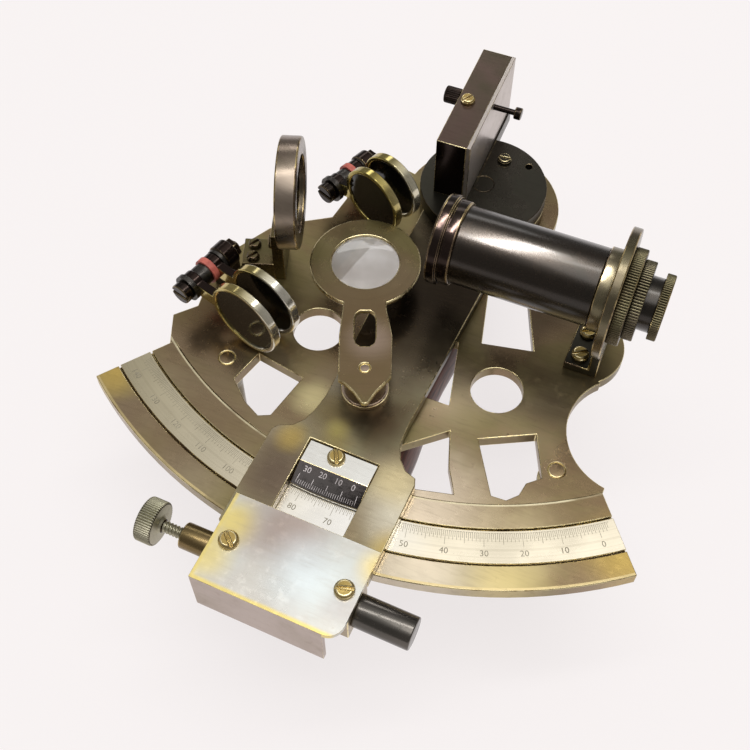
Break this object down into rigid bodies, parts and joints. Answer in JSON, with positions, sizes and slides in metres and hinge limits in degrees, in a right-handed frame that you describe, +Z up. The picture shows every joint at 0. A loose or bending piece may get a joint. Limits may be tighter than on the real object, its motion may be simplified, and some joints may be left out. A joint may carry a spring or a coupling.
{
  "type": "sextant",
  "caption": "Brass vernier sextant lying face up on its legs, with index arm, two mirrors, swinging shades, magnifier and a small telescope.",
  "frame": {"origin": "on the ground under the index pivot, at the middle of the pivot foot's flat face", "axes": "+Z up along the index pivot; -Y from the pivot to the middle of the limb; +X along the telescope to its eyepiece; the sextant lies face up"},
  "size_m": [0.1458, 0.1702, 0.0902],
  "materials": {
    "frame_bronze": "aged bronze-brown lacquer over brass, worn to gold on edges",
    "dark_bronze": "dark antique patina, satin",
    "black_bronze": "blackened, semi-gloss",
    "bright_brass": "polished with wear",
    "silvered": "silvered brass, brushed and tarnished",
    "steel": "satin",
    "optical_glass": "clear, polished",
    "shade_glass": "dark neutral shade",
    "mirror_glass": "silvered glass",
    "hardwood": "dark red-brown, oiled",
    "red_fibre": "vulcanised fibre"
  },
  "bodies": {
    "frame": {"frame_plate": "frame_bronze", "limb_scale": "silvered", "pivot_bush": "bright_brass", "leg_left": "frame_bronze", "leg_right": "frame_bronze", "pivot_foot": "frame_bronze", "handle_grip": "hardwood", "handle_posts": "bright_brass", "handle_screws": "bright_brass", "telescope_holder": "dark_bronze", "holder_screws": "bright_brass", "telescope_tube": "black_bronze", "objective_cell": "black_bronze", "objective_lens": "optical_glass", "focus_sleeve": "dark_bronze", "horizon_bracket": "bright_brass", "horizon_ring": "frame_bronze", "horizon_glass": "mirror_glass", "horizon_retainer": "dark_bronze", "horizon_screws": "bright_brass", "horizon_shade_bracket": "black_bronze", "horizon_shade_pin": "dark_bronze", "fibre_washers": "red_fibre", "steel_washers": "steel", "index_shade_bracket": "black_bronze", "index_shade_pin": "dark_bronze"},
    "arm": {"index_arm": "frame_bronze", "arm_boss": "dark_bronze", "index_spindle": "bright_brass", "index_mirror_case": "dark_bronze", "index_mirror_glass": "mirror_glass", "index_mirror_back": "silvered", "mirror_screws": "bright_brass", "vernier_plate": "silvered", "vernier_screw": "bright_brass", "cover_plate": "silvered", "cover_screws": "bright_brass", "tangent_cheeks": "frame_bronze", "screw_collar": "dark_bronze", "spring_barrel": "black_bronze", "tangent_spring": "steel", "magnifier_post": "bright_brass"},
    "magnifier": {"magnifier_frame": "frame_bronze", "magnifier_lens": "optical_glass"},
    "mirror_screw": {"mirror_adjust_screw": "dark_bronze"},
    "clamp": {"clamp_block": "frame_bronze"},
    "thumb_screw": {"clamp_screw": "dark_bronze"},
    "slow_motion_screw": {"tangent_screw": "dark_bronze"},
    "focus_wheel": {"focus_ring": "dark_bronze"},
    "eyepiece": {"draw_tube": "black_bronze", "eyepiece_cap": "dark_bronze", "eye_lens": "optical_glass"},
    "horizon_shade_a": {"horizon_shade_1": "bright_brass", "horizon_shade_1_glass": "shade_glass"},
    "horizon_shade_b": {"horizon_shade_2": "bright_brass", "horizon_shade_2_glass": "shade_glass"},
    "index_shade_a": {"index_shade_1": "bright_brass", "index_shade_1_glass": "shade_glass"},
    "index_shade_b": {"index_shade_2": "bright_brass", "index_shade_2_glass": "shade_glass"}
  },
  "joints": [
    {"name": "index_arm_swing", "type": "hinge", "parent": "frame", "child": "arm", "pos_m": [0, 0, 0.046], "axis": [0, 0, 1], "range_deg": [-9, 28]},
    {"name": "magnifier_swing", "type": "hinge", "parent": "arm", "child": "magnifier", "pos_m": [-0.00524, -0.07437, 0.0585], "axis": [0, 0, 1], "range_deg": [-205, 0]},
    {"name": "mirror_screw_turn", "type": "hinge", "parent": "arm", "child": "mirror_screw", "pos_m": [-0.01243, 0.01237, 0.0715], "axis": [0.9999, 0.0105, 0], "range_deg": [-180, 180]},
    {"name": "slow_motion_slide", "type": "slide", "parent": "arm", "child": "clamp", "axis": [0.9995, -0.0314, 0], "range_m": [-0.002, 0.002]},
    {"name": "slow_motion_turn", "type": "hinge", "parent": "clamp", "child": "slow_motion_screw", "pos_m": [-0.03898, -0.12624, 0.045], "axis": [0.9995, -0.0314, 0], "range_deg": [-800, 800]},
    {"name": "clamp_turn", "type": "hinge", "parent": "clamp", "child": "thumb_screw", "pos_m": [-0.00352, -0.11195, 0.032], "axis": [0, 0, 1], "range_deg": [-360, 90]},
    {"name": "focus_turn", "type": "hinge", "parent": "frame", "child": "focus_wheel", "pos_m": [0.049, -0.039, 0.0735], "axis": [1, 0, 0], "range_deg": [-75, 180]},
    {"name": "eyepiece_draw", "type": "slide", "parent": "frame", "child": "eyepiece", "axis": [1, 0, 0], "range_m": [-0.0025, 0.006]},
    {"name": "horizon_shade_a_swing", "type": "hinge", "parent": "frame", "child": "horizon_shade_a", "pos_m": [-0.05564, -0.05846, 0.058], "axis": [-0.2756, -0.9613, 0], "range_deg": [0, 175]},
    {"name": "horizon_shade_b_swing", "type": "hinge", "parent": "frame", "child": "horizon_shade_b", "pos_m": [-0.05773, -0.06576, 0.058], "axis": [-0.2756, -0.9613, 0], "range_deg": [0, 175]},
    {"name": "index_shade_a_swing", "type": "hinge", "parent": "frame", "child": "index_shade_a", "pos_m": [-0.03522, -0.00988, 0.0545], "axis": [-0.3795, -0.9252, 0], "range_deg": [0, 150]},
    {"name": "index_shade_b_swing", "type": "hinge", "parent": "frame", "child": "index_shade_b", "pos_m": [-0.038, -0.01664, 0.0545], "axis": [-0.3795, -0.9252, 0], "range_deg": [0, 150]}
  ],
  "couplings": [
    {"joint": "slow_motion_slide", "follows": "slow_motion_turn", "m_per_rad": 0.00014324},
    {"joint": "eyepiece_draw", "follows": "focus_turn", "m_per_rad": 0.0019099}
  ]
}
